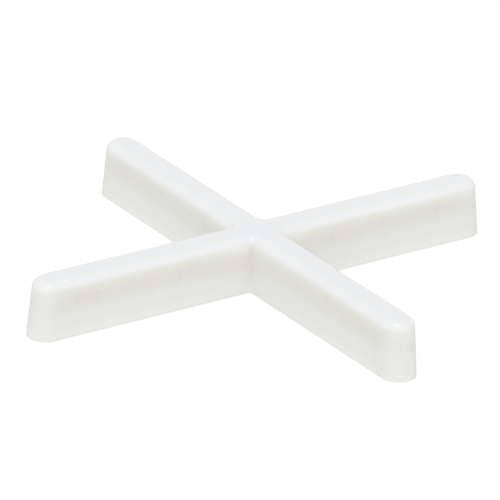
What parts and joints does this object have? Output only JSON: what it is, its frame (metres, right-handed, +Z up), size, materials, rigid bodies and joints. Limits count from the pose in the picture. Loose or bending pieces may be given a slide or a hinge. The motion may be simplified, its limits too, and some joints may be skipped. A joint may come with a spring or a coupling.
{
  "type": "tile spacer",
  "caption": "Moulded white plastic cross that keeps an even joint between tiles, with round ends, a softly rounded top edge and a flat base.",
  "frame": {"origin": "middle of the cross on the flat base", "axes": "+Z up from the base to the top face, X and Y along the arms"},
  "size_m": [0.043, 0.043, 0.0049],
  "materials": {
    "white_plastic": "satin, as moulded, faintly cloudy"
  },
  "bodies": {
    "root": {"tile_spacer": "white_plastic"}
  },
  "joints": []
}
